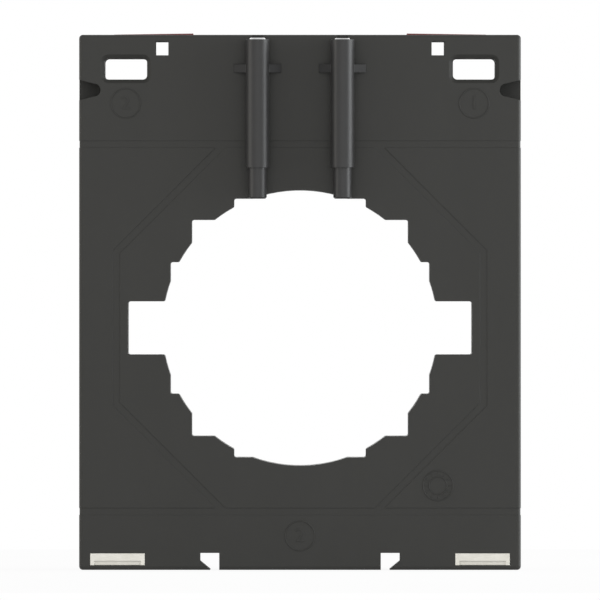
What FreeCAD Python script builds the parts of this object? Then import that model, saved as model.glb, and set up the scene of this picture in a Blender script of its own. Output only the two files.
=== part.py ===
import FreeCAD, Part
import math
import os

# Window-type current transformer, in millimetres, with +Z up.
# The origin is the middle of the underside, at the parting plane of the two shells.
# The two clamping rods stand on the rear face, which looks along -Y.
# Paired pieces are drawn on the +X side and mirrored to the other.

# Primary window: four bar slots and a round passage share one centre
flat_slot_w = 81.8
flat_slot_h = 12.63
broad_slot_w = 61.64
broad_slot_h = 31.33
square_slot = 51.46
tall_slot_w = 31.35
tall_slot_h = 61.59
round_d = 65.57
slot_corner_r = 0.5
window_wall = 1.6

# Ring core with its cups, winding and tape, and the air round the finished ring
core_build = 2.97
core_w = 23.3
cup_wall = 0.5
wire_d = 0.95
tape_t = 0.25
nest_gap = 0.05
window_gap = 0.3
ring_gap = 0.3
start_gap_deg = 9.0
tape_deg = 40.0

# Housing walls, ribs and edges
side_wall = 2.0
face_wall = 2.2
base_wall = 2.0
roof_wall = 2.4
edge_r = 0.9
face_rib_h = 1.8
face_rib_t = 1.4
face_ribs = 8
cradle_t = 2.0
cradle_w = 28.0
cradle_y = 8.0
ring_lift = 2.03

# Lap joint between the shells, at the parting plane
lap_t = 0.9
lap_h = 1.5
lap_gap = 0.08
seam_w = 0.4
seam_depth = 0.25

# Shallow grooves: two belts round the housing and an octagon round the window
groove_w = 1.7
groove_depth = 0.1
groove_margin = 1.9

# Plug-in feet and their pockets in the lower corners
foot_edge = 2.59
foot_w = 13.04
foot_h = 2.93
foot_floor = 1.06
foot_roof = 1.3
foot_gap = 0.06
foot_reach = 17.0
foot_plate_t = 2.4
foot_joggle = 1.5
foot_corner_r = 3.0
foot_slot_y = 9.5
foot_slot_w = 4.5
foot_slot_l = 8.0
foot_relief_edge = 0.95
foot_relief_h = 1.0
foot_relief_depth = 1.0

# Hook notches in the underside
hook_x = 19.2
hook_w = 4.58
hook_h = 4.03
hook_lip_h = 2.0
hook_mouth = 2.15
hook_wall = 1.3

# Secondary terminals: wire entries, brass blocks and set screws
entry_rise = 11.38
entry_inset = 11.1
entry_w = 10.09
entry_h = 5.06
entry_r = 1.0
entry_bevel = 0.9
channel_margin = 0.15
block_side = 0.8
block_base = 2.0
block_top = 2.62
block_d = 13.0
block_gap = 0.1
block_edge = 0.35
terminal_screw_d = 5.0
thread_gap = 0.05
terminal_slot_w = 0.9
terminal_slot_depth = 1.2
screw_chamfer = 0.35
well_gap = 0.4
well_floor = 1.6
socket_r = 1.45
socket_l = 4.4
socket_depth = 3.4
attic_depth = 5.0
attic_w = 65.0
attic_h = 10.2
loft_w = 56.0

# Leads from the winding to the terminal blocks
lead_d = 1.6
lead_gap = 0.1
lead_x = 1.8
lead_bend = 2.4

# Hinged terminal lids with their sealing eyes
lid_t = 1.1
lid_w = 16.0
lid_len = 19.8
lid_over = 3.8
lid_rise = 0.13
lid_proud = 0.39
lid_gap = 0.1
lid_side_gap = 0.15
lid_swing_deg = 113.0
knuckle_r = 1.0
ear_gap = 0.6
pin_r = 0.55
pin_l = 1.0
pin_gap = 0.06
scoop_r = 8.0
scoop_l = 3.0
scoop_depth = 1.0
seal_w = 3.04
seal_h = 3.36
seal_web = 1.07
seal_drop = 1.51
eye_t = 2.0
eye_rim = 0.35
eye_foot = 0.8
eye_gap = 0.1

# Recesses at the side edges of both faces
notch_drop = 5.04
notch_mouth = 4.9
notch_tip_r = 1.53
notch_reach = 5.08
notch_depth = 8.0

# Clamping rods: sleeve, slotted screw and pressure cap
clamp_x = 10.1
sleeve_d = 5.6
sleeve_stand = 0.15
sleeve_drop = 1.1
clamp_screw_d = 4.0
clamp_gap = 0.06
clamp_proud = 0.5
clamp_slot_w = 0.8
clamp_slot_depth = 1.3
cap_d = 4.4
cap_bore_gap = 0.1
cap_show = 7.4
cap_seat = 2.9
cap_floor = 2.0
cap_edge = 0.35
cap_drop = 0.1
dog_d = 2.9
dog_gap = 0.05
bore_spare = 0.4
neck_w = 2.2
tail_w = 3.6
tail_depth = 1.4
tail_gap = 0.08
tail_start = 1.5
tail_back = 0.8
wing_w = 11.2
wing_root = 4.0
wing_h = 1.95
wing_drop = 8.0
wing_rise = 2.3
wing_tip = 0.35

# How far a cutting solid runs past the surface that it opens
past = 1.0

# Most that an edge may lean away from the axis that it runs along
lean_deg = 2.5

# Ring sizes, outwards from the window
slot_reach = math.hypot(flat_slot_w / 2 + window_wall, flat_slot_h / 2 + window_wall)
ring_in_r = slot_reach + window_gap
coil_in_r = ring_in_r + tape_t + nest_gap
cup_in_r = coil_in_r + wire_d + nest_gap
core_in_r = cup_in_r + cup_wall + nest_gap
core_out_r = core_in_r + core_build
cup_out_r = core_out_r + nest_gap + cup_wall
coil_out_r = cup_out_r + nest_gap + wire_d
ring_out_r = coil_out_r + nest_gap + tape_t

# Half widths of the ring's layers, along Y
core_y = core_w / 2
cup_y = core_y + nest_gap + cup_wall
coil_y = cup_y + nest_gap + wire_d
ring_y = coil_y + nest_gap + tape_t

# Housing outline, which follows from the ring and the terminals
half_w = ring_out_r + ring_gap + side_wall
half_d = ring_y + face_rib_h + face_wall
inner_x = half_w - side_wall
inner_y = half_d - face_wall
floor_z = foot_floor + foot_h + foot_roof
window_z = floor_z + ring_lift + ring_out_r
ring_top_z = window_z + ring_out_r
entry_z = ring_top_z + entry_rise
channel_w = entry_w + 2 * channel_margin
channel_h = entry_h + 2 * channel_margin
block_w = channel_w + 2 * block_side
block_z0 = entry_z - channel_h / 2 - block_base
block_z1 = entry_z + channel_h / 2 + block_top
attic_z = block_z0 - block_gap - attic_depth
seat_z = block_z1 + well_floor
top_z = seat_z + lid_gap + lid_t
roof_z = top_z - roof_wall
entry_x = half_w - entry_inset
block_in_x = entry_x - block_w / 2
socket_z = block_z0 + socket_r + block_gap

# Lid hinge and sealing hole
hinge_x = entry_x + lid_over - knuckle_r
hinge_z = top_z - knuckle_r
lid_reach = lid_len - knuckle_r
lid_end_x = hinge_x - lid_reach
lid_under_z = seat_z + lid_gap
lid_top_r = knuckle_r + lid_rise
seal_x = block_in_x - seal_web - seal_w / 2
seal_top_z = top_z - seal_drop
seal_z = seal_top_z - seal_h / 2
eye_near_x = seal_x + seal_w / 2 + eye_gap + eye_rim
eye_far_x = seal_x - seal_w / 2 - eye_gap - eye_foot
eye_z = seal_z - seal_h / 2 - eye_gap - eye_foot
eye_swing_r = math.hypot(hinge_x - eye_far_x, hinge_z - eye_z)

# Clamping rod heights, from the window's upper edge
sleeve_r = sleeve_d / 2
rod_y = -(half_d + sleeve_stand + sleeve_r)
cap_z0 = window_z + tall_slot_h / 2 - cap_drop
sleeve_z0 = cap_z0 + cap_show
sleeve_z1 = top_z - sleeve_drop
cap_z1 = sleeve_z0 + cap_seat
clamp_z1 = sleeve_z1 + clamp_proud
wing_z1 = top_z - wing_drop + wing_h / 2
tail_z0 = sleeve_z0 + tail_start


def vec(x, y, z):
    return FreeCAD.Vector(x, y, z)


X_AXIS = vec(1, 0, 0)
Y_AXIS = vec(0, 1, 0)
Z_AXIS = vec(0, 0, 1)
ORIGIN = vec(0, 0, 0)


def polygon_face(corners):
    return Part.Face(Part.makePolygon(corners + corners[:1]))


# A box between two opposite corners
def block(x0, x1, y0, y1, z0, z1):
    return Part.makeBox(x1 - x0, y1 - y0, z1 - z0, vec(x0, y0, z0))


# A polygon drawn in X and Z, extruded from y0 to y1
def prism_xz(points, y0, y1):
    return polygon_face([vec(x, y0, z) for x, z in points]).extrude(Y_AXIS * (y1 - y0))


# A polygon drawn in X and Y, extruded from z0 to z1
def prism_xy(points, z0, z1):
    return polygon_face([vec(x, y, z0) for x, y in points]).extrude(Z_AXIS * (z1 - z0))


# An outline of radii and heights, turned round the Z axis
def turned(outline):
    return polygon_face([vec(radius, 0, z) for radius, z in outline]).revolve(ORIGIN, Z_AXIS, 360)


# Edges of a shape that run along an axis
def edges_along(shape, axis):
    least_cos = math.cos(math.radians(lean_deg))
    found = []
    for edge in shape.Edges:
        if isinstance(edge.Curve, Part.Line):
            if abs(edge.tangentAt(edge.FirstParameter).dot(axis)) > least_cos:
                found.append(edge)
    return found


# A shape whose edges along one axis are rounded
def rounded(shape, radius, axis):
    return shape.makeFillet(radius, edges_along(shape, axis))


def mirrored(shape):
    return shape.mirror(ORIGIN, X_AXIS)


def both_sides(shape):
    return [shape, mirrored(shape)]


# The same cut made from the rear face and from the front face
def both_faces(shape):
    return [shape, shape.mirror(ORIGIN, Y_AXIS)]


def fused(shapes):
    return shapes[0].fuse(shapes[1:]).removeSplitter()


# The stepped outline of the window, grown by a wall, as a solid through the housing
def window_solid(grow, y0, y1):
    slots = (
        (flat_slot_w, flat_slot_h),
        (broad_slot_w, broad_slot_h),
        (square_slot, square_slot),
        (tall_slot_w, tall_slot_h),
    )
    solids = []
    for width, height in slots:
        half_x = width / 2 + grow
        half_z = height / 2 + grow
        solids.append(block(-half_x, half_x, y0, y1, window_z - half_z, window_z + half_z))
    solids.append(Part.makeCylinder(round_d / 2 + grow, y1 - y0, vec(0, y0, window_z), Y_AXIS))
    return fused(solids)


# The wire entry's rounded outline, grown by a margin, at a depth
def entry_wire(grow, y):
    half_x = entry_w / 2 + grow
    half_z = entry_h / 2 + grow
    plate = block(entry_x - half_x, entry_x + half_x, y, y + past, entry_z - half_z, entry_z + half_z)
    plate = rounded(plate, entry_r + grow, Y_AXIS)
    return min(plate.Faces, key=lambda face: face.CenterOfMass.y).OuterWire


# The funnel-mouthed passage of one wire entry, through both shells
def entry_cut():
    throat = Part.Face(entry_wire(0, -half_d)).extrude(Y_AXIS * (2 * half_d))
    mouth = Part.makeLoft([entry_wire(entry_bevel, -half_d), entry_wire(0, -half_d + entry_bevel)], True)
    return [throat] + both_faces(mouth)


# A regular octagon round the window, given by its inradius
def octagon(inradius, y0, y1):
    reach = inradius / math.cos(math.pi / 8)
    points = []
    for i in range(8):
        angle = math.pi / 8 + i * math.pi / 4
        points.append((reach * math.cos(angle), window_z + reach * math.sin(angle)))
    return prism_xz(points, y0, y1)


# A belt cut round the housing between two heights, its inner corners rounded with the outer ones
def belt(z0, z1):
    outer = block(-half_w - past, half_w + past, -half_d - past, half_d + past, z0, z1)
    inset_x = half_w - groove_depth
    inset_y = half_d - groove_depth
    inner = rounded(block(-inset_x, inset_x, -inset_y, inset_y, z0, z1), edge_r - groove_depth, Z_AXIS)
    return outer.cut(inner)


def grooves():
    near = flat_slot_w / 2 + groove_margin
    far = near + groove_w
    inside = octagon(near, -half_d - past, -half_d + past)
    ring = octagon(far, -half_d - past, -half_d + groove_depth).cut(inside)
    return both_faces(ring) + [
        belt(window_z + near, window_z + far),
        belt(window_z - far, window_z - near),
    ]


# A narrow line round the sides and the roof where the shells meet
def seam():
    reach = seam_w / 2
    outer = block(-half_w - past, half_w + past, -reach, reach, edge_r, top_z + past)
    inner = block(-half_w + seam_depth, half_w - seam_depth, -reach, reach, 0, top_z - seam_depth)
    return outer.cut(inner)


# The housing's hollow, before the ribs and the window tube are left standing in it
def hollow():
    main = block(-inner_x, inner_x, -inner_y, inner_y, floor_z, attic_z)
    attic = block(-attic_w / 2, attic_w / 2, -inner_y, inner_y, attic_z - past, attic_z + attic_h)
    loft = block(-loft_w / 2, loft_w / 2, -inner_y, inner_y, attic_z, roof_z)
    hook_in_x = hook_x - hook_wall
    hook_out_x = hook_x + hook_w + hook_wall
    foot_in_x = half_w - foot_edge - foot_w - foot_roof
    middle_core = block(-hook_in_x, hook_in_x, -inner_y, inner_y, base_wall, floor_z + past)
    side_core = block(hook_out_x, foot_in_x, -inner_y, inner_y, base_wall, floor_z + past)
    return fused([main, attic, loft, middle_core] + both_sides(side_core))


# Radial ribs that hold the ring between the faces, and the cradle it stands on
def ribs():
    standing = []
    for i in range(face_ribs):
        rib = block(ring_in_r, inner_x, -inner_y, -ring_y, -face_rib_t / 2, face_rib_t / 2)
        rib.rotate(ORIGIN, Y_AXIS, (i + 0.5) * 360.0 / face_ribs)
        rib.translate(vec(0, 0, window_z))
        standing += both_faces(rib)
    ring_space = Part.makeCylinder(ring_out_r, 2 * half_d, vec(0, -half_d, window_z), Y_AXIS)
    half = cradle_w / 2
    for y in (-cradle_y, cradle_y):
        cradle = block(-half, half, y - cradle_t / 2, y + cradle_t / 2, base_wall, window_z - slot_reach)
        standing.append(cradle.cut(ring_space))
    return standing


# The dovetail that holds a sleeve on the rear face, grown by a clearance
def dovetail(grow, z0, z1):
    half_neck = neck_w / 2 + grow
    half_tail = tail_w / 2 + grow
    inside = -half_d + tail_depth + grow
    points = (
        (clamp_x - half_neck, rod_y),
        (clamp_x + half_neck, rod_y),
        (clamp_x + half_neck, -half_d),
        (clamp_x + half_tail, inside),
        (clamp_x - half_tail, inside),
        (clamp_x - half_neck, -half_d),
    )
    return prism_xy(points, z0, z1)


# Thicker wall behind a dovetail
def dovetail_backing():
    half = tail_w / 2 + side_wall
    return block(clamp_x - half, clamp_x + half, -inner_y, -inner_y + tail_back, tail_z0 - side_wall, top_z)


# Pocket for a brass block between the shells, with the ways to its screw and to its lead
def block_pocket():
    pocket = block(
        block_in_x - block_gap,
        block_in_x + block_w + block_gap,
        -block_d / 2 - block_gap,
        block_d / 2 + block_gap,
        block_z0 - block_gap,
        block_z1 + block_gap,
    )
    well_r = terminal_screw_d / 2 + well_gap
    well = Part.makeCylinder(well_r, top_z - block_z1, vec(entry_x, 0, block_z1), Z_AXIS)
    way_x = attic_w / 2 - past
    way = Part.makeCylinder(socket_r + block_gap, block_in_x - way_x, vec(way_x, 0, socket_z), X_AXIS)
    return [pocket, well, way]


# How far outside the hinge the fully opened lid reaches, at a height above the hinge
def swing_room(rise):
    swing = math.radians(lid_swing_deg)
    return (lid_top_r + lid_gap - rise * math.cos(swing)) / math.sin(swing)


# Seat, hinge holes, swing room, sealing slot and finger scoop of a lid
def lid_seat():
    half_y = lid_w / 2 + lid_side_gap
    end_x = lid_end_x - lid_side_gap
    seat = block(end_x, hinge_x, -half_y, half_y, seat_z, top_z + past)
    groove = Part.makeCylinder(lid_top_r + lid_gap, 2 * half_y, vec(hinge_x, -half_y, hinge_z), Y_AXIS)
    relief = prism_xz(
        (
            (hinge_x, hinge_z),
            (hinge_x + swing_room(0), hinge_z),
            (hinge_x + swing_room(knuckle_r + past), top_z + past),
            (hinge_x, top_z + past),
        ),
        -half_y,
        half_y,
    )
    hole_y = lid_w / 2 + pin_l + pin_gap
    holes = Part.makeCylinder(pin_r + pin_gap, 2 * hole_y, vec(hinge_x, -hole_y, hinge_z), Y_AXIS)
    slot_x = hinge_x - eye_swing_r - lid_side_gap
    slot_y = eye_t / 2 + lid_side_gap
    slot = block(slot_x, eye_near_x + eye_gap, -slot_y, slot_y, eye_z - eye_gap, top_z)
    scoop_start = vec(end_x - scoop_l, 0, top_z + scoop_r - scoop_depth)
    scoop = Part.makeCylinder(scoop_r, scoop_l, scoop_start, X_AXIS)
    return [seat, groove, relief, holes, slot, scoop]


def seal_hole(grow, y0, y1):
    half_x = seal_w / 2 + grow
    half_z = seal_h / 2 + grow
    return block(seal_x - half_x, seal_x + half_x, y0, y1, seal_z - half_z, seal_z + half_z)


# The bell-shaped recess at a side edge, cut to a blind depth from the rear face
def side_notch():
    z = entry_z - notch_drop
    tip_x = half_w - notch_reach + notch_tip_r
    slope = (notch_mouth / 2 - notch_tip_r) / (half_w - tip_x)
    out_x = half_w + past
    out_z = notch_mouth / 2 + slope * past
    points = (
        (tip_x, z - notch_tip_r),
        (out_x, z - out_z),
        (out_x, z + out_z),
        (tip_x, z + notch_tip_r),
    )
    bell = prism_xz(points, -half_d - past, -half_d + notch_depth)
    tip = Part.makeCylinder(notch_tip_r, notch_depth + past, vec(tip_x, -half_d - past, z), Y_AXIS)
    return fused([bell, tip])


# A hook notch in the underside, with its lip on the outer side
def hook_notch():
    mouth_x = hook_x + hook_mouth
    outer_x = hook_x + hook_w
    points = (
        (hook_x, -past),
        (hook_x, hook_h),
        (outer_x, hook_h),
        (outer_x, hook_lip_h),
        (mouth_x, 0),
        (mouth_x, -past),
    )
    return prism_xz(points, -half_d - past, half_d + past)


def foot_pocket():
    outer_x = half_w - foot_edge
    inner_foot_x = outer_x - foot_w
    return block(inner_foot_x, outer_x, -half_d - past, half_d + past, foot_floor, foot_floor + foot_h)


# Everything cut from the +X half of the housing, to be mirrored
def side_cuts():
    cuts = entry_cut() + block_pocket() + lid_seat()
    cuts.append(seal_hole(0, -half_d - past, half_d + past))
    cuts += both_faces(side_notch())
    cuts += [hook_notch(), foot_pocket()]
    cuts.append(dovetail(tail_gap, tail_z0 - tail_gap, top_z + past))
    return cuts


# The closed housing in one piece, before it is parted into its two shells
def housing():
    shell = block(-half_w, half_w, -half_d, half_d, 0, top_z)
    shell = shell.makeFillet(edge_r, shell.Edges)
    tube = window_solid(window_wall, -half_d, half_d)
    room = hollow().cut([tube] + both_sides(dovetail_backing()) + ribs())
    opening = rounded(window_solid(0, -half_d - past, half_d + past), slot_corner_r, Y_AXIS)
    one_side = side_cuts()
    cuts = [opening, seam()] + grooves() + one_side + [mirrored(cut) for cut in one_side]
    return shell.cut(room).cut(cuts).removeSplitter()


# The lip that one shell pushes into the other, round the outer wall, grown by a clearance
def lap(grow):
    out_x = inner_x + lap_t + grow
    out_z = roof_z + lap_t + grow
    low_z = base_wall - lap_t - grow
    in_x = inner_x - grow
    outer = block(-out_x, out_x, -past, lap_h + grow, low_z, out_z)
    core = block(-in_x, in_x, -2 * past, lap_h + grow + past, base_wall + grow, roof_z - grow)
    return outer.cut(core)


def shells():
    whole = housing()
    rear_half = block(-half_w - past, half_w + past, -half_d - past, 0, -past, top_z + past)
    rear = whole.common(rear_half.fuse(lap(0)))
    front = whole.cut([rear_half, lap(lap_gap)])
    return rear.removeSplitter(), front.removeSplitter()


# A ring's section, radius along X and width along Y
def ring_section(r0, r1, y0, y1):
    return polygon_face([vec(r0, y0, 0), vec(r1, y0, 0), vec(r1, y1, 0), vec(r0, y1, 0)])


# A section turned round the window's axis, from a start angle, where -90 is the top
def ring_turn(face, sweep, start):
    ring = face.revolve(ORIGIN, Y_AXIS, sweep)
    ring.rotate(ORIGIN, Y_AXIS, start)
    ring.translate(vec(0, 0, window_z))
    return ring


def core_ring():
    return ring_turn(ring_section(core_in_r, core_out_r, -core_y, core_y), 360, 0)


# An open channel ring that closes over half of the core
def core_cup_rear():
    outer = ring_turn(ring_section(cup_in_r, cup_out_r, -cup_y, -nest_gap), 360, 0)
    channel = ring_section(cup_in_r + cup_wall, cup_out_r - cup_wall, cup_wall - cup_y, past)
    return outer.cut(ring_turn(channel, 360, 0))


# One layer of wire round the cups, open over the starting gap at the top
def secondary_winding():
    outside = ring_section(coil_in_r, coil_out_r, -coil_y, coil_y)
    inside = ring_section(coil_in_r + wire_d, coil_out_r - wire_d, wire_d - coil_y, coil_y - wire_d)
    return ring_turn(outside.cut(inside), 360 - start_gap_deg, -90 + start_gap_deg / 2)


# The wrap of tape over the starting gap, with a hole for each lead
def winding_tape():
    outside = ring_section(ring_in_r, ring_out_r, -ring_y, ring_y)
    inside = ring_section(ring_in_r + tape_t, ring_out_r - tape_t, tape_t - ring_y, ring_y - tape_t)
    band = ring_turn(outside.cut(inside), tape_deg, -90 - tape_deg / 2)
    hole_r = lead_d / 2 + lead_gap
    hole = Part.makeCylinder(hole_r, wire_d + 2 * past, vec(lead_x, 0, ring_top_z - wire_d - past), Z_AXIS)
    return band.cut(both_sides(hole))


# Up from the winding, across a mitred bend and along into the block's socket
def lead():
    z0 = window_z + cup_out_r + lead_gap
    end_x = block_in_x - socket_l + socket_depth - lead_gap
    path = Part.makePolygon([
        vec(lead_x, 0, z0),
        vec(lead_x, 0, socket_z - lead_bend),
        vec(lead_x + lead_bend, 0, socket_z),
        vec(end_x, 0, socket_z),
    ])
    section = Part.Wire([Part.makeCircle(lead_d / 2, vec(lead_x, 0, z0), Z_AXIS)])
    return path.makePipeShell([section], True, False, 1)


# Brass block with a wire channel, a threaded hole above it and a socket for the lead
def terminal_block():
    half_y = block_d / 2
    socket_x = block_in_x - socket_l
    body = block(block_in_x, block_in_x + block_w, -half_y, half_y, block_z0, block_z1)
    body = body.makeChamfer(block_edge, edges_along(body, Z_AXIS))
    socket = Part.makeCylinder(socket_r, socket_l + past, vec(socket_x, 0, socket_z), X_AXIS)
    channel = Part.Face(entry_wire(channel_margin, -half_y - past)).extrude(Y_AXIS * (block_d + 2 * past))
    hole_r = terminal_screw_d / 2 + thread_gap
    hole_start = vec(entry_x, 0, block_z1 - block_top - past)
    hole = Part.makeCylinder(hole_r, block_top + 2 * past, hole_start, Z_AXIS)
    bore_r = (lead_d + lead_gap) / 2
    bore = Part.makeCylinder(bore_r, socket_depth, vec(socket_x, 0, socket_z), X_AXIS)
    return fused([body, socket]).cut([channel, hole, bore])


# A screwdriver slot across the top of a screw that stands on the Z axis
def slotted(screw, radius, z1, slot_w, slot_depth):
    slot = block(-slot_w / 2, slot_w / 2, -radius - past, radius + past, z1 - slot_depth, z1 + past)
    return screw.cut(slot)


# Set screw with chamfered ends, its slot turned along X
def terminal_screw():
    radius = terminal_screw_d / 2
    z0 = block_z1 - block_top + thread_gap
    z1 = hinge_z - knuckle_r - 2 * lid_gap
    screw = turned((
        (0, z0),
        (radius - screw_chamfer, z0),
        (radius, z0 + screw_chamfer),
        (radius, z1 - screw_chamfer),
        (radius - screw_chamfer, z1),
        (0, z1),
    ))
    screw = slotted(screw, radius, z1, terminal_slot_w, terminal_slot_depth)
    screw.rotate(ORIGIN, Z_AXIS, 90)
    screw.translate(vec(entry_x, 0, 0))
    return screw


# Red lid: a wedge-shaped plate on two pinned ears, with an eye for the sealing wire
def terminal_lid():
    half_y = lid_w / 2
    plate = prism_xz(
        (
            (hinge_x, lid_under_z),
            (hinge_x, hinge_z + lid_top_r),
            (lid_end_x, top_z + lid_proud),
            (lid_end_x, lid_under_z),
        ),
        -half_y,
        half_y,
    )
    ear_y = terminal_screw_d / 2 + ear_gap
    ear = Part.makeCylinder(knuckle_r, half_y - ear_y, vec(hinge_x, ear_y, hinge_z), Y_AXIS)
    pin = Part.makeCylinder(pin_r, half_y + pin_l - ear_y, vec(hinge_x, ear_y, hinge_z), Y_AXIS)
    eye = block(eye_far_x, eye_near_x, -eye_t / 2, eye_t / 2, eye_z, lid_under_z + lid_t / 2)
    lid = fused([plate, eye] + both_faces(ear) + both_faces(pin))
    return lid.cut(seal_hole(eye_gap, -eye_t, eye_t))


# One snap wing of a sleeve, on the -X or the +X side of its tube
def sleeve_wing(side):
    face_y = -half_d - clamp_gap
    points = (
        (clamp_x, face_y),
        (clamp_x + side * wing_w / 2, face_y),
        (clamp_x + side * wing_w / 2, face_y - wing_tip),
        (clamp_x + side * wing_root / 2, face_y - wing_rise),
        (clamp_x, face_y - wing_rise),
    )
    return prism_xy(points, wing_z1 - wing_h, wing_z1)


# Sleeve with a bore for the screw, a seat for the cap, a dovetail and two snap wings
def clamp_sleeve():
    length = sleeve_z1 - sleeve_z0
    low_end = vec(clamp_x, rod_y, sleeve_z0 - past)
    tube = Part.makeCylinder(sleeve_r, length, vec(clamp_x, rod_y, sleeve_z0), Z_AXIS)
    tail = dovetail(0, tail_z0, sleeve_z1 - edge_r)
    bore = Part.makeCylinder(clamp_screw_d / 2 + clamp_gap, length + 2 * past, low_end, Z_AXIS)
    seat = Part.makeCylinder(cap_d / 2 + cap_bore_gap, cap_seat + bore_spare + past, low_end, Z_AXIS)
    return fused([tube, tail, sleeve_wing(-1), sleeve_wing(1)]).cut([bore, seat])


# Slotted screw with a dog point that sits in the cap
def clamp_screw():
    radius = clamp_screw_d / 2
    dog_z0 = cap_z0 + cap_floor + dog_gap
    screw = turned((
        (0, dog_z0),
        (dog_d / 2, dog_z0),
        (dog_d / 2, cap_z1),
        (radius, cap_z1),
        (radius, clamp_z1 - screw_chamfer),
        (radius - screw_chamfer, clamp_z1),
        (0, clamp_z1),
    ))
    screw = slotted(screw, radius, clamp_z1, clamp_slot_w, clamp_slot_depth)
    screw.translate(vec(clamp_x, rod_y, 0))
    return screw


def clamp_cap():
    radius = cap_d / 2
    bore_r = dog_d / 2 + dog_gap
    floor = cap_z0 + cap_floor
    cap = turned((
        (0, cap_z0),
        (radius - cap_edge, cap_z0),
        (radius, cap_z0 + cap_edge),
        (radius, cap_z1),
        (bore_r, cap_z1),
        (bore_r, floor),
        (0, floor),
    ))
    cap.translate(vec(clamp_x, rod_y, 0))
    return cap


# A slot with round ends along X, through a plate
def long_slot(x, y, width, length, z0, z1):
    reach = (length - width) / 2
    middle = block(x - reach, x + reach, y - width / 2, y + width / 2, z0, z1)
    ends = [Part.makeCylinder(width / 2, z1 - z0, vec(x + end, y, z0), Z_AXIS) for end in (-reach, reach)]
    return fused([middle] + ends)


# Foot: a tongue through the housing, a joggle and a slotted plate in front of it
def mounting_foot():
    low = foot_floor + foot_gap
    high = foot_floor + foot_h - foot_gap
    bend_y = half_d + foot_gap
    end_y = half_d + foot_reach
    x1 = half_w - foot_edge - foot_gap
    x0 = x1 - foot_w + 2 * foot_gap
    foot = polygon_face([
        vec(x0, -half_d, low),
        vec(x0, bend_y, low),
        vec(x0, bend_y + foot_joggle, 0),
        vec(x0, end_y, 0),
        vec(x0, end_y, foot_plate_t),
        vec(x0, bend_y + foot_joggle, foot_plate_t),
        vec(x0, bend_y, high),
        vec(x0, -half_d, high),
    ]).extrude(X_AXIS * (x1 - x0))
    free_corners = [edge for edge in edges_along(foot, Z_AXIS) if edge.BoundBox.YMin > bend_y + foot_joggle]
    foot = foot.makeFillet(foot_corner_r, free_corners)
    slot = long_slot(
        (x0 + x1) / 2, half_d + foot_slot_y, foot_slot_w, foot_slot_l, -past, foot_plate_t + past
    )
    relief = block(
        x0 + foot_relief_edge,
        x1 - foot_relief_edge,
        -half_d - past,
        -half_d + foot_relief_depth,
        low - past,
        low + foot_relief_h,
    )
    return foot.cut([slot, relief])


def save(name, shape):
    solids = shape.Solids
    print(name, len(solids), "solid", round(sum(solid.Volume for solid in solids), 1), "mm3", shape.isValid())
    (solids[0] if len(solids) == 1 else shape).exportStep(os.path.join("parts", name + ".step"))


# A pair of the same piece: the first name is on the -X side, the second on the +X side
def save_pair(left_name, right_name, shape):
    save(left_name, mirrored(shape))
    save(right_name, shape)


os.makedirs("parts", exist_ok=True)
rear_shell, front_shell = shells()
save("rear_shell", rear_shell)
save("front_shell", front_shell)
save("core_ring", core_ring())
save("core_cup_rear", core_cup_rear())
save("core_cup_front", core_cup_rear().mirror(ORIGIN, Y_AXIS))
save("secondary_winding", secondary_winding())
save("winding_tape", winding_tape())
save_pair("s2_lead", "s1_lead", lead())
save_pair("s2_terminal_block", "s1_terminal_block", terminal_block())
save_pair("s2_terminal_screw", "s1_terminal_screw", terminal_screw())
save_pair("s2_terminal_lid", "s1_terminal_lid", terminal_lid())
save_pair("clamp_sleeve_left", "clamp_sleeve_right", clamp_sleeve())
save_pair("clamp_screw_left", "clamp_screw_right", clamp_screw())
save_pair("clamp_cap_left", "clamp_cap_right", clamp_cap())
save_pair("mounting_foot_left", "mounting_foot_right", mounting_foot())
print("housing", round(2 * half_w, 2), round(2 * half_d, 2), round(top_z, 2))
print("window centre", round(window_z, 2))
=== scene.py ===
# %% [markdown]
# # A window-type current transformer
# A current transformer measures the current in a thick bar without touching it. The bar passes
# through the stepped window, and a ring of steel and copper inside the housing gives a small
# current that is in proportion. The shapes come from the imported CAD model, which stays as it is.
# This lesson dresses it: light, camera, finishes, and the small forms that a CAD model leaves out.

# %% Load the frame
import math
import bpy
import bmesh
from mathutils import Matrix, Vector


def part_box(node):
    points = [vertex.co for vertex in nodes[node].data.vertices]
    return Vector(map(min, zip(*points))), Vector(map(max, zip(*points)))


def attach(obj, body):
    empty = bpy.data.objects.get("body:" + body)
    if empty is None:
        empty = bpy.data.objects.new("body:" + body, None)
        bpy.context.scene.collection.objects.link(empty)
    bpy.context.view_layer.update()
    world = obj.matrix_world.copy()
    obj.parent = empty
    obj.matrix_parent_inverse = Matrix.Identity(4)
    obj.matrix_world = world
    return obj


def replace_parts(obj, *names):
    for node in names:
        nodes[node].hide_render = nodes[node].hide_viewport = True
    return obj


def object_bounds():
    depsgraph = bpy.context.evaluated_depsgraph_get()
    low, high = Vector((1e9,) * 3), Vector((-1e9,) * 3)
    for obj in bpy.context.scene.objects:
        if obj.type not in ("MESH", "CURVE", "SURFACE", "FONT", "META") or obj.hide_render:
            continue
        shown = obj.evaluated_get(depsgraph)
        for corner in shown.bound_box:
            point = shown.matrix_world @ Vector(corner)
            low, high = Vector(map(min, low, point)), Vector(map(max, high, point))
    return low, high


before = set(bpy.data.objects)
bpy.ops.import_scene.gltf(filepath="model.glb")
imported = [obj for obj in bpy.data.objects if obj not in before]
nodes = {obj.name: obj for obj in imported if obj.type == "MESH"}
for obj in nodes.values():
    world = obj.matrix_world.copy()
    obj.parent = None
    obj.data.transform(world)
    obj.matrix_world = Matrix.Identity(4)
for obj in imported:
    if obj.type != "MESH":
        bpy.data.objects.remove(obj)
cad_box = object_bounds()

mm = 0.001
low_corner, high_corner = ([round(c, 4) for c in corner] for corner in cad_box)
print("CAD nodes:", len(nodes), "box from", low_corner, "to", high_corner)

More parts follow.
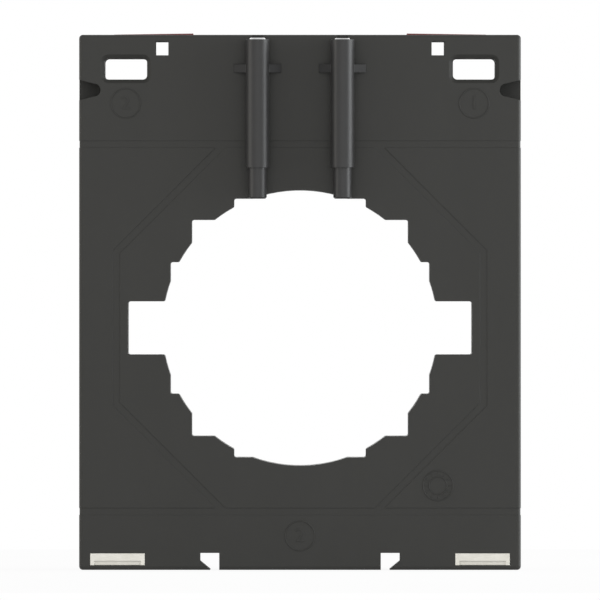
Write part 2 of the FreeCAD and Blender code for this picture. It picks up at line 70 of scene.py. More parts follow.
# %% [markdown]
# ## Where the transformer's parts are
# Every later cell needs a few places on the object. They could be typed in again, but numbers that
# stand in two files drift apart. So they are read from the boxes of the CAD nodes.

# %% Measure the parts
core_low, core_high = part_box("core_ring")
face_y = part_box("rear_shell")[0][1]
window_z = (core_low[2] + core_high[2]) / 2
cap_low, cap_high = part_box("clamp_cap_right")
rod_x = (cap_low[0] + cap_high[0]) / 2
rod_y = (cap_low[1] + cap_high[1]) / 2
sleeve_radius = rod_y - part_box("clamp_sleeve_right")[0][1]
print("face at y", round(face_y / mm, 2), "mm, window centre at z", round(window_z / mm, 2), "mm")

# %% [markdown]
# ## The camera
# The photograph looks straight at the rear face, and hardly any inner wall shows in the window.
# An orthographic camera would do that too, but a very long lens from far away looks the same and
# also keeps the right size when the view is turned. The distance follows from the lens, the
# sensor and the width of the scene that the photograph takes in.

# %% Set up the camera
photo_width = 142.61 * mm
photo_centre_z = 64.16 * mm
camera_data = bpy.data.cameras.new("long_lens")
camera_data.sensor_width = 36.0
camera_data.lens = 1700.0
camera_data.clip_end = 100.0
camera = bpy.data.objects.new("long_lens", camera_data)
distance = photo_width * camera_data.lens / camera_data.sensor_width
camera.location = (0, face_y - distance, photo_centre_z)
camera.rotation_euler = (math.radians(90), 0, 0)
bpy.context.scene.collection.objects.link(camera)
bpy.context.scene.camera = camera
bpy.context.scene.view_settings.view_transform = "Standard"
print("camera", round(distance, 3), "m from the face")

# %% [markdown]
# ## Arithmetic for nodes
# A finish is a network of nodes, and long chains of Math nodes are hard to read as a list of links.
# The class below wraps an output socket, so that `1 - mask` or `a * b + c` adds the Math nodes.
# One method adds every other kind of node: it takes the type, the settings, and the inputs.

# %% A workbench for node trees
class Wire:
    """An output socket that can be used in a Python expression."""

    def __init__(self, bench, socket):
        self.bench = bench
        self.socket = socket

    def __add__(self, other):
        return self.bench.math("ADD", self, other)

    def __radd__(self, other):
        return self.bench.math("ADD", other, self)

    def __sub__(self, other):
        return self.bench.math("SUBTRACT", self, other)

    def __rsub__(self, other):
        return self.bench.math("SUBTRACT", other, self)

    def __mul__(self, other):
        return self.bench.math("MULTIPLY", self, other)

    def __rmul__(self, other):
        return self.bench.math("MULTIPLY", other, self)

    def __truediv__(self, other):
        return self.bench.math("DIVIDE", self, other)

    def __rtruediv__(self, other):
        return self.bench.math("DIVIDE", other, self)

    def __gt__(self, other):
        return self.bench.math("GREATER_THAN", self, other)

    def __lt__(self, other):
        return self.bench.math("LESS_THAN", self, other)


class Bench:
    """A node tree, and the one method that adds nodes to it."""

    def __init__(self, tree):
        self.tree = tree

    def add(self, kind, settings=None, inputs=None, output=0):
        node = self.tree.nodes.new(kind)
        for name, value in (settings or {}).items():
            setattr(node, name, value)
        for key, value in (inputs or {}).items():
            links = [v for v in (value if isinstance(value, list) else [value]) if isinstance(v, Wire)]
            for link in links:
                self.tree.links.new(link.socket, node.inputs[key])
            if not links:
                node.inputs[key].default_value = value
        return Wire(self, node.outputs[output]) if len(node.outputs) else node

    def math(self, operation, *values):
        return self.add("ShaderNodeMath", {"operation": operation}, dict(enumerate(values)))

    def blend(self, factor, colour_a, colour_b):
        sockets = {0: factor, 6: colour_a, 7: colour_b}
        return self.add("ShaderNodeMix", {"data_type": "RGBA"}, sockets, output=2)

    def ramp(self, value, low, high):
        sockets = {"Value": value, "From Min": low, "From Max": high}
        return self.add("ShaderNodeMapRange", {"interpolation_type": "SMOOTHSTEP"}, sockets)


print("workbench ready")

# %% [markdown]
# ## The floor, the background and the light
# The photograph stands on pure white, and the dark housing is lit so evenly that its face is one
# tone. A white background needs no more light on the object: the world shows white only to the
# camera and to reflections, and gives a softer level to everything else. The floor is white paper
# that lets a soft shadow show. A wide soft box stands at each side, and the rounded edges of the
# housing and of the clamping rods show it as a line of light: cool on the right, warm on the left.
# A weak panel before the object and one behind it keep both faces readable.

# %% Make the floor and the world
def new_material(name):
    material = bpy.data.materials.new(name)
    material.use_nodes = True
    material.node_tree.nodes.clear()
    return material, Bench(material.node_tree)


def lit_directly(bench):
    """1 for what the camera, a mirror or glass sees of a surface, 0 for the light it sends on."""
    path = bench.add("ShaderNodeLightPath").socket.node
    kinds = ("Is Camera Ray", "Is Glossy Ray", "Is Transmission Ray")
    camera_ray, mirror_ray, glass_ray = [Wire(bench, path.outputs[kind]) for kind in kinds]
    return bench.math("MAXIMUM", camera_ray, bench.math("MAXIMUM", mirror_ray, glass_ray))


paper_glow = 0.92
paper, bench = new_material("white_paper")
diffuse = bench.add("ShaderNodeBsdfDiffuse", inputs={"Color": (0.80, 0.80, 0.80, 1)})
white = bench.add("ShaderNodeEmission", inputs={"Color": (1, 1, 1, 1), "Strength": 1.0})
glow = lit_directly(bench) * paper_glow
seen = bench.add("ShaderNodeMixShader", inputs={0: glow, 1: diffuse, 2: white})
bench.add("ShaderNodeOutputMaterial", inputs={"Surface": seen})

floor_radius = 550 * mm
floor_drop = 0.05 * mm
floor_mesh = bpy.data.meshes.new("floor")
disc = bmesh.new()
bmesh.ops.create_circle(disc, cap_ends=True, segments=96, radius=floor_radius)
disc.to_mesh(floor_mesh)
disc.free()
floor_mesh.transform(Matrix.Translation((0, 0, -floor_drop)))
floor_mesh.materials.append(paper)
floor = bpy.data.objects.new("floor", floor_mesh)
bpy.context.scene.collection.objects.link(floor)

world = bpy.data.worlds.new("studio")
world.use_nodes = True
world.node_tree.nodes.clear()
bench = Bench(world.node_tree)
soft_level = 0.60
direct = lit_directly(bench)
strength = direct + (1 - direct) * soft_level
background = bench.add("ShaderNodeBackground", inputs={"Color": (1, 1, 1, 1), "Strength": strength})
bench.add("ShaderNodeOutputWorld", inputs={"Surface": background})
bpy.context.scene.world = world
aim = Vector((0, 0, 64 * mm))


def soft_light(name, place, size, power, colour):
    lamp = bpy.data.lights.new(name, "AREA")
    lamp.shape = "RECTANGLE"
    lamp.size, lamp.size_y = size
    lamp.energy = power
    lamp.color = colour
    light = bpy.data.objects.new(name, lamp)
    light.location = place
    light.rotation_euler = (aim - Vector(place)).to_track_quat("-Z", "Y").to_euler()
    bpy.context.scene.collection.objects.link(light)
    print(name, "at", place, power, "W")


soft_light("front_panel", (0, -0.9, 0.28), (0.9, 0.6), 1.6, (1, 0.995, 0.98))
soft_light("rear_panel", (0, 0.9, 0.40), (0.9, 0.6), 2.0, (1, 0.995, 0.98))
soft_light("right_box", (0.56, 0.00, 0.12), (0.54, 0.44), 5.0, (0.95, 0.98, 1))
soft_light("left_box", (-0.54, -0.14, 0.12), (0.34, 0.44), 0.85, (1, 0.95, 0.86))

# %% [markdown]
# ## What all the finishes share
# Patterns are laid out in Object coordinates, which are metres on this object, so a grain of
# 0.2 mm has a scale of 5000. No real edge is perfectly sharp. The Bevel node reads a slightly
# rounded normal, which catches the light on every edge and needs no extra faces. Where that normal
# turns away from the true one there is an edge, and the colour is painted a little paler there:
# a painted highlight along every edge.

# %% Helpers for the finishes
def grey(level, tint=(1, 1, 1)):
    return (level * tint[0], level * tint[1], level * tint[2], 1)


def from_srgb(red, green, blue):
    """A screen colour of 0 to 255 as the linear colour that a shader works with."""
    parts = [c / 255 for c in (red, green, blue)]
    return tuple(c / 12.92 if c < 0.04045 else ((c + 0.055) / 1.055) ** 2.4 for c in parts) + (1,)


def place(bench):
    return bench.add("ShaderNodeTexCoord", output="Object")


def grain(bench, size, detail=2.0, roughness=0.5, vector=None):
    """Noise whose blotches are about one size across, in metres."""
    inputs = {"Vector": vector or place(bench), "Scale": 1 / size, "Detail": detail, "Roughness": roughness}
    return bench.add("ShaderNodeTexNoise", inputs=inputs)


def stretched(bench, scale, location=(0, 0, 0)):
    inputs = {"Vector": place(bench), "Location": location, "Scale": scale}
    return bench.add("ShaderNodeMapping", inputs=inputs)


def soft_edge(bench, radius):
    return bench.add("ShaderNodeBevel", {"samples": 4}, {"Radius": radius})


def edge_mask(bench, rounded):
    """0 on a flat face, and up to 1 where the rounded normal turns away from the true one."""
    least, full = 0.02, 0.25
    true_normal = bench.add("ShaderNodeNewGeometry", output="Normal")
    normals = {0: rounded, 1: true_normal}
    facing = bench.add("ShaderNodeVectorMath", {"operation": "DOT_PRODUCT"}, normals, "Value")
    return bench.ramp(1 - facing, least, full)


def shade(bench, colour, roughness, normal, **constants):
    inputs = {"Base Color": colour, "Roughness": roughness, "Normal": normal}
    inputs.update({name.replace("_", " "): value for name, value in constants.items()})
    principled = bench.add("ShaderNodeBsdfPrincipled", inputs=inputs)
    bench.add("ShaderNodeOutputMaterial", inputs={"Surface": principled})


def relief(bench, height, depth, normal):
    inputs = {"Height": height, "Distance": depth, "Strength": 1.0, "Normal": normal}
    return bench.add("ShaderNodeBump", inputs=inputs)


print("grain, edges and relief ready")

# %% [markdown]
# ## The moulded housing
# The shells are injection moulded in a glass-filled grey-black plastic. The mould was spark
# eroded, which leaves a fine even grain. Near the window the plastic flowed in and cooled with
# faint cloudy streaks. So the finish has three scales: the grain, the streaks, and edges made
# paler as a painted highlight.

# %% Finish the housing
housing_plastic, bench = new_material("housing_plastic")
rounded = soft_edge(bench, 0.22 * mm)
edges = edge_mask(bench, rounded)
sparks = grain(bench, 0.28 * mm, 3.0, 0.6)
streaks = grain(bench, 9 * mm, 3.0, 0.55, stretched(bench, (1.0, 1.0, 0.35)))
dark = bench.blend(streaks, from_srgb(50, 50, 48), from_srgb(55, 55, 53))
# Paler along every edge: a painted highlight.
colour = bench.blend(edges * 0.25, dark, from_srgb(72, 72, 70))
roughness = 0.50 + (sparks - 0.5) * 0.10 + (streaks - 0.5) * 0.06
normal = relief(bench, sparks, 0.012 * mm, rounded)
shade(bench, colour, roughness, normal, Specular_IOR_Level=0.22)
print("housing_plastic:", len(bench.tree.nodes), "nodes")

# %% [markdown]
# ## The sleeves and caps of the clamping rods
# These small parts come from a polished mould, so they shine more than the housing, and light
# runs down them in lines. Fine drag lines run along their length, the way they leave the mould.
# The two hooks that hold a sleeve come from its other half, which is rough, so they are dull.
# Their colour is darkened too: painted shade from the rods beside them. They lie further from the
# rod's axis than the sleeve's own radius, and that picks them out.

# %% Finish the sleeves and caps
sleeve_plastic, bench = new_material("sleeve_plastic")
rounded = soft_edge(bench, 0.18 * mm)
edges = edge_mask(bench, rounded)
drag = grain(bench, 0.16 * mm, 3.0, 0.6, stretched(bench, (1.0, 1.0, 0.06)))
clouds = grain(bench, 3 * mm)
across = bench.add("ShaderNodeSeparateXYZ", inputs={0: place(bench)})
from_axis = bench.math("ABSOLUTE", bench.math("ABSOLUTE", across) - rod_x)
hook_start = sleeve_radius + 0.1 * mm
hooks = from_axis > hook_start
dark = bench.blend(clouds, from_srgb(42, 42, 42), from_srgb(48, 48, 48))
# Paler along every edge: a painted highlight.
edge_highlighted = bench.blend(edges * 0.3, dark, from_srgb(70, 70, 70))
# The hooks are darkened: painted shade from the rods beside them.
colour = bench.blend(hooks, edge_highlighted, from_srgb(30, 30, 30))
roughness = 0.42 + (drag - 0.5) * 0.12 + (clouds - 0.5) * 0.08 + hooks * 0.16
normal = relief(bench, drag, 0.006 * mm, rounded)
shade(bench, colour, roughness, normal, Specular_IOR_Level=0.35)
print("sleeve_plastic:", len(bench.tree.nodes), "nodes")

# %% [markdown]
# ## The red lids
# The lids over the terminals are a glossy dark red, so that a hand finds them on the dark housing.
# Their edges take more light through, which a lighter red at the edges shows well enough.

# %% Finish the lids
lid_plastic, bench = new_material("lid_plastic")
rounded = soft_edge(bench, 0.2 * mm)
edges = edge_mask(bench, rounded)
clouds = grain(bench, 4 * mm)
peel = grain(bench, 0.9 * mm, 1.0)
dark = bench.blend(clouds, from_srgb(108, 18, 20), from_srgb(124, 24, 26))
colour = bench.blend(edges * 0.5, dark, from_srgb(160, 40, 42))
roughness = 0.28 + (peel - 0.5) * 0.10
normal = relief(bench, peel, 0.010 * mm, rounded)
shade(bench, colour, roughness, normal, Specular_IOR_Level=0.25)
print("lid_plastic:", len(bench.tree.nodes), "nodes")

# %% [markdown]
# ## Steel feet, screws and brass blocks
# The feet are stamped from strip and plated with zinc, which looks pale and slightly cloudy, with
# rolling lines along the strip. The screws are turned: their lines run round the axis. The blocks
# are brass under a thin layer of nickel, sawn from bar, so their saw marks cross the face.

# %% Finish the metal parts
def plated_metal(name, dull, bright, stretch, roughness, line_size, line_depth, cloud_size):
    material, bench = new_material(name)
    rounded = soft_edge(bench, 0.12 * mm)
    lines = grain(bench, line_size, 2.0, 0.5, stretched(bench, stretch))
    clouds = grain(bench, cloud_size, 4.0, 0.6)
    plating = bench.blend(bench.ramp(clouds, 0.35, 0.65), dull, bright)
    colour = bench.blend(lines * 0.18, plating, grey(dull[0] * 0.8))
    shine = roughness + (clouds - 0.5) * 0.12 + (lines - 0.5) * 0.08
    normal = relief(bench, lines, line_depth, rounded)
    shade(bench, colour, shine, normal, Metallic=1.0)
    print(name + ":", len(bench.tree.nodes), "nodes")
    return material


foot_steel = plated_metal(
    "foot_steel", dull=grey(0.54, (1, 0.975, 0.88)), bright=grey(0.59, (1, 0.975, 0.89)),
    stretch=(0.05, 1, 1), roughness=0.40,
    line_size=0.12 * mm, line_depth=0.004 * mm, cloud_size=3.0 * mm,
)
screw_steel = plated_metal(
    "screw_steel", dull=grey(0.56), bright=grey(0.72, (0.98, 0.99, 1)),
    stretch=(1, 1, 0.08), roughness=0.28,
    line_size=0.10 * mm, line_depth=0.004 * mm, cloud_size=0.9 * mm,
)
terminal_brass = plated_metal(
    "terminal_brass", dull=grey(0.60, (1, 0.90, 0.66)), bright=grey(0.72, (1, 0.92, 0.70)),
    stretch=(1, 0.06, 1), roughness=0.30,
    line_size=0.14 * mm, line_depth=0.006 * mm, cloud_size=2.0 * mm,
)

# %% [markdown]
# ## The ring inside
# Nobody sees the ring until the shells are opened, but a library part is opened often. The core is
# one strip of silicon steel wound up like tape, so its flanks show fine rings, and the layers'
# distance from the middle drives the pattern.

# %% Finish the core, the cups, the tape and the leads
def distance_from_axis(bench):
    """Distance from the window's axis, in metres."""
    moved = stretched(bench, (1, 0, 1), (0, 0, -window_z))
    return bench.add("ShaderNodeVectorMath", {"operation": "LENGTH"}, {0: moved}, "Value")


strip_thickness = 0.27 * mm
core_steel, bench = new_material("core_steel")
rounded = soft_edge(bench, 0.05 * mm)
layers = bench.math("FRACT", distance_from_axis(bench) / strip_thickness)
gap = bench.math("PINGPONG", layers, 0.5) * 2
clouds = grain(bench, 3 * mm, 4.0)
steel = bench.blend(clouds, grey(0.30, (0.96, 0.98, 1)), grey(0.44, (0.96, 0.98, 1)))
colour = bench.blend(bench.ramp(gap, 0.0, 0.35), grey(0.05), steel)
normal = relief(bench, bench.ramp(gap, 0.0, 0.4), 0.03 * mm, rounded)
shade(bench, colour, 0.42 + (clouds - 0.5) * 0.2, normal, Metallic=0.9)

cup_plastic, bench = new_material("cup_plastic")
rounded = soft_edge(bench, 0.15 * mm)
sparks = grain(bench, 0.3 * mm, 3.0, 0.6)
clouds = grain(bench, 8 * mm)
colour = bench.blend(clouds, from_srgb(206, 198, 176), from_srgb(220, 212, 192))
shade(bench, colour, 0.5 + (sparks - 0.5) * 0.12, relief(bench, sparks, 0.01 * mm, rounded))

winding_tape, bench = new_material("winding_tape")
rounded = soft_edge(bench, 0.08 * mm)
weave = grain(bench, 0.25 * mm, 2.0, 0.5, stretched(bench, (1, 0.1, 1)))
clouds = grain(bench, 5 * mm)
colour = bench.blend(clouds, from_srgb(196, 138, 44), from_srgb(214, 160, 62))
shade(bench, colour, 0.34 + (weave - 0.5) * 0.16, relief(bench, weave, 0.01 * mm, rounded))

lead_sheath, bench = new_material("lead_sheath")
rounded = soft_edge(bench, 0.08 * mm)
clouds = grain(bench, 2 * mm)
scuffs = grain(bench, 0.2 * mm, 3.0)
colour = bench.blend(clouds, from_srgb(30, 30, 30), from_srgb(40, 40, 40))
shade(bench, colour, 0.46 + (scuffs - 0.5) * 0.2, relief(bench, scuffs, 0.006 * mm, rounded))

winding_wire, bench = new_material("winding_wire")
rounded = soft_edge(bench, 0.05 * mm)
clouds = grain(bench, 4 * mm, 3.0)
colour = bench.blend(clouds, from_srgb(150, 74, 34), from_srgb(178, 96, 48))
shade(bench, colour, 0.30 + (clouds - 0.5) * 0.12, relief(bench, clouds, 0.01 * mm, rounded), Metallic=0.85)
print("ring finishes ready")

# %% [markdown]
# ## Dressing the CAD parts
# Each CAD node keeps its mesh and only gets its finish. The record names a material slot for every
# node, and the finishes above carry the same names, so one loop dresses them all.

# %% Give every CAD node its finish
finishes = {
    material.name.split(".")[0]: material
    for material in (
        housing_plastic, sleeve_plastic, lid_plastic, foot_steel, screw_steel, terminal_brass,
        core_steel, cup_plastic, winding_tape, lead_sheath, winding_wire,
    )
}
dressed = {}
for name, node in nodes.items():
    for holder in node.material_slots:
        slot_name = holder.material.name.split(".")[0]
        holder.material = finishes[slot_name]
        dressed.setdefault(slot_name, []).append(name)
for slot_name, names in dressed.items():
    print(slot_name, "on", ", ".join(names))

# %% [markdown]
# ## Small forms that repeat
# A thread, a winding and the marks of the mould all follow a rule, so Geometry Nodes make them
# from a few named sizes. The class below is a workbench for such a tree. It ends every tree with
# Realize Instances and Set Material, turns the result into a plain mesh, and takes the modifier
# away, so that what is left is an ordinary piece that rides on its body.

# %% A recipe for pieces
class Recipe(Bench):
    """A Geometry Nodes tree with named inputs, and the pieces that it makes."""

    def __init__(self, name, **kinds):
        super().__init__(bpy.data.node_groups.new(name, "GeometryNodeTree"))
        face = self.tree.interface
        face.new_socket("Geometry", in_out="OUTPUT", socket_type="NodeSocketGeometry")
        self.sockets = {}
        for label, kind in kinds.items():
            self.sockets[label] = face.new_socket(label, in_out="INPUT", socket_type="NodeSocket" + kind)
        self.given = self.tree.nodes.new("NodeGroupInput")

    def size(self, label):
        return Wire(self, self.given.outputs[label])

    def point(self, x, y, z):
        return self.add("ShaderNodeCombineXYZ", inputs={0: x, 1: y, 2: z})

    def end(self, geometry):
        solid = self.add("GeometryNodeRealizeInstances", inputs={0: geometry})
        inputs = {"Geometry": solid, "Material": self.size("finish")}
        finished = self.add("GeometryNodeSetMaterial", inputs=inputs)
        self.add("NodeGroupOutput", inputs={0: finished})

    def make(self, name, **values):
        """A plain mesh made with these sizes."""
        seed = bpy.data.objects.new(name + "_seed", bpy.data.meshes.new(name + "_seed"))
        bpy.context.scene.collection.objects.link(seed)
        modifier = seed.modifiers.new(name, "NODES")
        modifier.node_group = self.tree
        for label, value in values.items():
            modifier[self.sockets[label].identifier] = value
        shaped = seed.evaluated_get(bpy.context.evaluated_depsgraph_get())
        mesh = bpy.data.meshes.new_from_object(shaped)
        mesh.name = name
        bpy.data.objects.remove(seed)
        return mesh


def clean(mesh):
    """Merges doubles, drops what a cut left without a face, and turns the faces outwards."""
    merge_distance = 0.002 * mm
    work = bmesh.new()
    work.from_mesh(mesh)
    bmesh.ops.remove_doubles(work, verts=work.verts, dist=merge_distance)
    stray_points = [vertex for vertex in work.verts if not vertex.link_faces]
    bmesh.ops.delete(work, geom=stray_points, context="VERTS")
    stray_edges = [edge for edge in work.edges if not edge.link_faces]
    bmesh.ops.delete(work, geom=stray_edges, context="EDGES")
    bmesh.ops.recalc_face_normals(work, faces=work.faces)
    work.to_mesh(mesh)
    work.free()


def place_piece(name, mesh, body):
    piece = bpy.data.objects.new(name, mesh)
    bpy.context.scene.collection.objects.link(piece)
    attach(piece, body)
    low = [round(min(v.co[axis] for v in mesh.vertices) / mm, 2) for axis in range(3)]
    high = [round(max(v.co[axis] for v in mesh.vertices) / mm, 2) for axis in range(3)]
    print(name, len(mesh.polygons), "faces, from", low, "to", high)
    return piece


# %% [markdown]
# ## Threaded screws
# The CAD screws are smooth shafts. A real thread is a ridge that climbs by one pitch in each turn.
# A grid is rolled into a tube, and each point's radius follows from its height less its share of
# the turn, so one formula gives the whole helix. The thread stops a little below the upper end,
# which is turned plain. The first and last rows close on the axis, and then the screwdriver slot
# is cut out with a Boolean.

# %% Recipe for a screw
screw_recipe = Recipe(
    "slotted_screw", finish="Material", radius="Float", pitch="Float", depth="Float", bottom="Float",
    top="Float", shoulder="Float", point_radius="Float", chamfer="Float", slot="Vector", rows="Int",
)
r = screw_recipe
around = 28
flank_slope = 2.7
crest_width = 0.35
sharp_angle = math.radians(38)
sheet = r.add("GeometryNodeMeshGrid", inputs={
    "Size X": 1.0, "Size Y": 1.0, "Vertices X": around + 1, "Vertices Y": r.size("rows") + 1,
})
spot = r.add("ShaderNodeSeparateXYZ", inputs={0: r.add("GeometryNodeInputPosition")}).socket.node
turn = Wire(r, spot.outputs[0]) + 0.5
row = (Wire(r, spot.outputs[1]) + 0.5) * r.size("rows")
share = r.add("ShaderNodeClamp", inputs={0: (row - 1) / (r.size("rows") - 2)})
height = r.size("bottom") + share * (r.size("top") - r.size("bottom"))
phase = r.math("FRACT", height / r.size("pitch") - turn)
groove = r.add("ShaderNodeClamp", inputs={0: r.math("PINGPONG", phase, 0.5) * flank_slope - crest_width})
threaded = height < r.size("top") - r.size("chamfer") * 2
thread = r.size("radius") - r.size("depth") * groove * threaded
cone = r.size("radius") - r.size("chamfer") + (r.size("top") - height)
tip = r.size("point_radius") + (height > r.size("shoulder")) * r.size("radius")
inside = (row > 0.5) * (row < r.size("rows") - 0.5)
radius = r.math("MINIMUM", r.math("MINIMUM", thread, cone), tip) * inside
angle = turn * math.tau
rolled = r.add("GeometryNodeSetPosition", inputs={
    "Geometry": sheet,
    "Position": r.point(radius * r.math("COSINE", angle), radius * r.math("SINE", angle), height),
})
tube = r.add("GeometryNodeMergeByDistance", inputs={"Geometry": rolled, "Distance": 0.004 * mm})
blade = r.add("GeometryNodeTransform", inputs={
    "Geometry": r.add("GeometryNodeMeshCube", inputs={"Size": r.size("slot")}),
    "Translation": r.point(0, 0, r.size("top")),
})
how = {"operation": "DIFFERENCE", "solver": "EXACT"}
cut = r.add("GeometryNodeMeshBoolean", how, {"Mesh 1": tube, "Mesh 2": blade})
smooth = r.add("GeometryNodeSetShadeSmooth", {"domain": "FACE"}, {"Geometry": cut, "Shade Smooth": True})
sharp = r.add("GeometryNodeInputMeshEdgeAngle") > sharp_angle
creases = {"Geometry": smooth, "Selection": sharp, "Shade Smooth": False}
r.end(r.add("GeometryNodeSetShadeSmooth", {"domain": "EDGE"}, creases))
print("slotted_screw:", len(r.tree.nodes), "nodes")

# %% [markdown]
# ## Putting the screws in
# The sizes come from the boxes of the CAD screws, which stay in place for the motion checks,
# hidden.
# The clamping screws have a thinner point that sits in the cap, from the cap's upper end down.
# They are turned in a little further than their CAD nodes, each as the photograph shows it.

# %% Make the four screws
rows_per_turn = 8
thread_share = 0.55
end_chamfer = 0.35 * mm


def fit_screw(name, body, pitch, slot_size, point_radius=0.0, shoulder=0.0, sunk=0.0):
    low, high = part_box(name)
    radius = max(high[0] - low[0], high[1] - low[1]) / 2
    rows = int((high[2] - low[2]) / pitch * rows_per_turn)
    mesh = screw_recipe.make(
        name + "_threaded", finish=screw_steel, radius=radius, pitch=pitch, depth=thread_share * pitch,
        bottom=low[2], top=high[2] - sunk, shoulder=shoulder, point_radius=point_radius,
        chamfer=end_chamfer, slot=slot_size, rows=rows,
    )
    clean(mesh)
    mesh.transform(Matrix.Translation(((low[0] + high[0]) / 2, (low[1] + high[1]) / 2, 0)))
    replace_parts(place_piece(name + "_threaded", mesh, body), name)


clamp_pitch = 0.7 * mm
clamp_slot = (10 * mm, 0.8 * mm, 2.6 * mm)
clamp_point = 1.45 * mm
for side, sunk in (("left", 0.14 * mm), ("right", 0.25 * mm)):
    cap_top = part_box("clamp_cap_" + side)[1][2]
    fit_screw("clamp_screw_" + side, side + "_clamp", clamp_pitch, clamp_slot, clamp_point, cap_top, sunk)

terminal_pitch = 0.8 * mm
terminal_slot = (10 * mm, 0.9 * mm, 2.4 * mm)
for side in ("s1", "s2"):
    fit_screw(side + "_terminal_screw", side + "_screw", terminal_pitch, terminal_slot)

# %% [markdown]
# ## The secondary winding
# The winding is one long wire that goes round and round the ring's section while it travels once
# about the window. A line of points follows that path, twelve to each turn. Clamping a cosine and
# a sine gives the squared path with cut corners that a stiff wire takes round the cups. No box tells
# how thick the wire and the core are, so these two sizes are typed in again from the CAD source.

# %% Wind the ring
winding_recipe = Recipe(
    "ring_winding", finish="Material", turns="Int", wire="Float", middle="Float", reach="Float",
    half_width="Float", gap="Float", centre="Float",
)
r = winding_recipe
steps = 12
squareness = 1.32
count = r.size("turns") * steps + 1
path = r.add("GeometryNodeMeshLine", inputs={"Count": count})
index = r.add("GeometryNodeInputIndex")
around_section = index * (math.tau / steps)


def squared(wave):
    """A cosine or sine round the section, raised and then cut off at 1 and at -1."""
    raised = r.math(wave, around_section) * squareness
    return r.add("ShaderNodeClamp", inputs={0: raised, 1: -1.0, 2: 1.0})


travel = math.radians(90) + r.size("gap") / 2 + index / (count - 1) * (math.tau - r.size("gap"))
from_axis = r.size("middle") + r.size("reach") * squared("COSINE")
along = r.point(
    from_axis * r.math("COSINE", travel),
    r.size("half_width") * squared("SINE"),
    r.size("centre") + from_axis * r.math("SINE", travel),
)
bent = r.add("GeometryNodeSetPosition", inputs={"Geometry": path, "Position": along})
wire_line = r.add("GeometryNodeMeshToCurve", inputs={0: bent})
section = r.add("GeometryNodeCurvePrimitiveCircle", inputs={"Resolution": 6, "Radius": r.size("wire") / 2})
sweep = {"Curve": wire_line, "Profile Curve": section, "Fill Caps": True}
wire_mesh = r.add("GeometryNodeCurveToMesh", inputs=sweep)
r.end(r.add("GeometryNodeSetShadeSmooth", inputs={"Geometry": wire_mesh, "Shade Smooth": True}))

turns = 280
start_gap = math.radians(9.0)
wire_d = 0.95 * mm
core_thickness = 2.97 * mm
coil_low, coil_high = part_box("secondary_winding")
coil_out = (coil_high[0] - coil_low[0]) / 2
over_core = coil_out - (core_high[0] - core_low[0]) / 2
coil_in = coil_out - 2 * over_core - core_thickness
mesh = winding_recipe.make(
    "copper_turns", finish=winding_wire, turns=turns, wire=wire_d, middle=(coil_in + coil_out) / 2,
    reach=(coil_out - coil_in - wire_d) / 2, half_width=(coil_high[1] - coil_low[1] - wire_d) / 2,
    gap=start_gap, centre=window_z,
)
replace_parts(place_piece("copper_turns", mesh, "housing"), "secondary_winding")

# %% [markdown]
# ## The marks of the mould
# Four small round marks stand on the face, a hair's breadth proud: two beside the wire entries,
# one at the foot, and a mould clock, whose ticks tell when the part was moulded. Rings and ticks
# repeat round a centre, so one recipe makes them all. The numbers are plain ones.

# %% Recipe for a round mark
mark_recipe = Recipe(
    "round_mark", finish="Material", radius="Float", line="Float", height="Float",
    inner_radius="Float", ticks="Int", with_ticks="Bool",
)
r = mark_recipe


def raised_ring(radius):
    circle = r.add("GeometryNodeCurvePrimitiveCircle", inputs={"Resolution": 72, "Radius": radius})
    sides = {"Width": r.size("line"), "Height": r.size("height") * 2}
    edge = r.add("GeometryNodeCurvePrimitiveQuadrilateral", inputs=sides)
    return r.add("GeometryNodeCurveToMesh", inputs={"Curve": circle, "Profile Curve": edge})


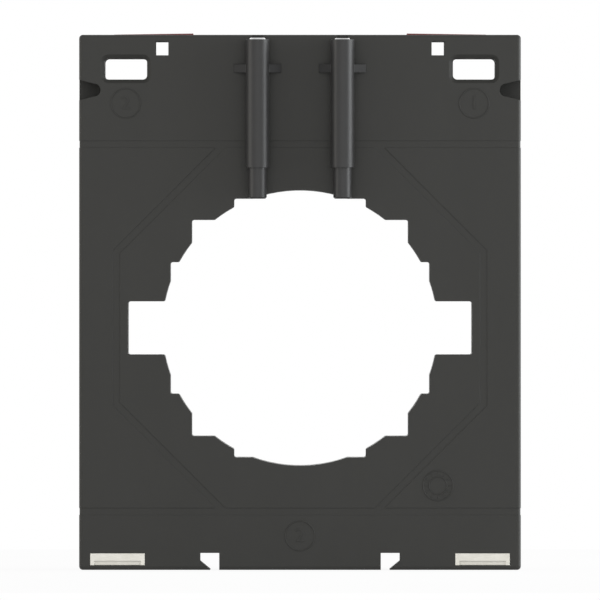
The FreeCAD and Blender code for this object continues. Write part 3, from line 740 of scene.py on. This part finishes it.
tick_length = (r.size("radius") - r.size("inner_radius")) * 0.5
dots = r.add("GeometryNodeMeshCircle", inputs={
    "Vertices": r.size("ticks"), "Radius": (r.size("radius") + r.size("inner_radius")) / 2,
})
tick_size = r.point(tick_length, r.size("line"), r.size("height") * 2)
tick = r.add("GeometryNodeMeshCube", inputs={"Size": tick_size})
facing = r.point(0, 0, r.add("GeometryNodeInputIndex") * math.tau / r.size("ticks"))
ticks = r.add("GeometryNodeInstanceOnPoints", inputs={"Points": dots, "Instance": tick, "Rotation": facing})
clock = r.add("GeometryNodeJoinGeometry", inputs={0: [ticks, raised_ring(r.size("inner_radius"))]})
choice = {"Switch": r.size("with_ticks"), "True": clock}
extra = r.add("GeometryNodeSwitch", {"input_type": "GEOMETRY"}, choice)
r.end(r.add("GeometryNodeJoinGeometry", inputs={0: [raised_ring(r.size("radius")), extra]}))
print("round_mark:", len(r.tree.nodes), "nodes")

# %% [markdown]
# ## Standing the marks on the face
# The recipe lays a mark flat at the origin, so each one is stood up and moved to its place. Half of
# its height goes into the face, so that no gap shows behind it. A number is a text object turned
# into a mesh, because a mark in a mould is a shape and not a picture.

# %% Set the marks on the face
def on_face(mesh, x, z):
    """Stands a flat mesh up on the rear face, with its middle at x and z."""
    upright = Matrix.Rotation(math.radians(90), 4, "X")
    mesh.transform(Matrix.Translation((x, face_y, z)) @ upright)


def number_mesh(name, digit, tall, height):
    curve = bpy.data.curves.new(name, "FONT")
    curve.body = digit
    curve.size = tall
    curve.align_x = curve.align_y = "CENTER"
    curve.extrude = height
    text = bpy.data.objects.new(name, curve)
    bpy.context.scene.collection.objects.link(text)
    mesh = bpy.data.meshes.new_from_object(text.evaluated_get(bpy.context.evaluated_depsgraph_get()))
    bpy.data.objects.remove(text)
    mesh.materials.clear()
    mesh.materials.append(housing_plastic)
    return mesh


mark_height = 0.10 * mm
mark_line = 0.26 * mm
clock_inner_radius = 2.1 * mm
clock_ticks = 12
number_height = 4.6 * mm
marks = (
    ("mark_left", -41.40, 110.91, 3.50, "2"),
    ("mark_right", 41.40, 110.91, 3.50, "1"),
    ("mark_foot", 0.0, 8.10, 3.50, "2"),
    ("mould_clock", 32.80, 20.05, 3.55, ""),
)
for name, x, z, mark_radius, digit in marks:
    mesh = mark_recipe.make(
        name, finish=housing_plastic, radius=mark_radius * mm, line=mark_line, height=mark_height,
        inner_radius=clock_inner_radius, ticks=clock_ticks, with_ticks=not digit,
    )
    clean(mesh)
    on_face(mesh, x * mm, z * mm)
    place_piece(name, mesh, "housing")
    if digit:
        number = number_mesh(name + "_number", digit, number_height, mark_height)
        clean(number)
        on_face(number, x * mm, z * mm)
        place_piece(name + "_number", number, "housing")

# %% [markdown]
# ## The end of the script

# %% Finish
print("finished")
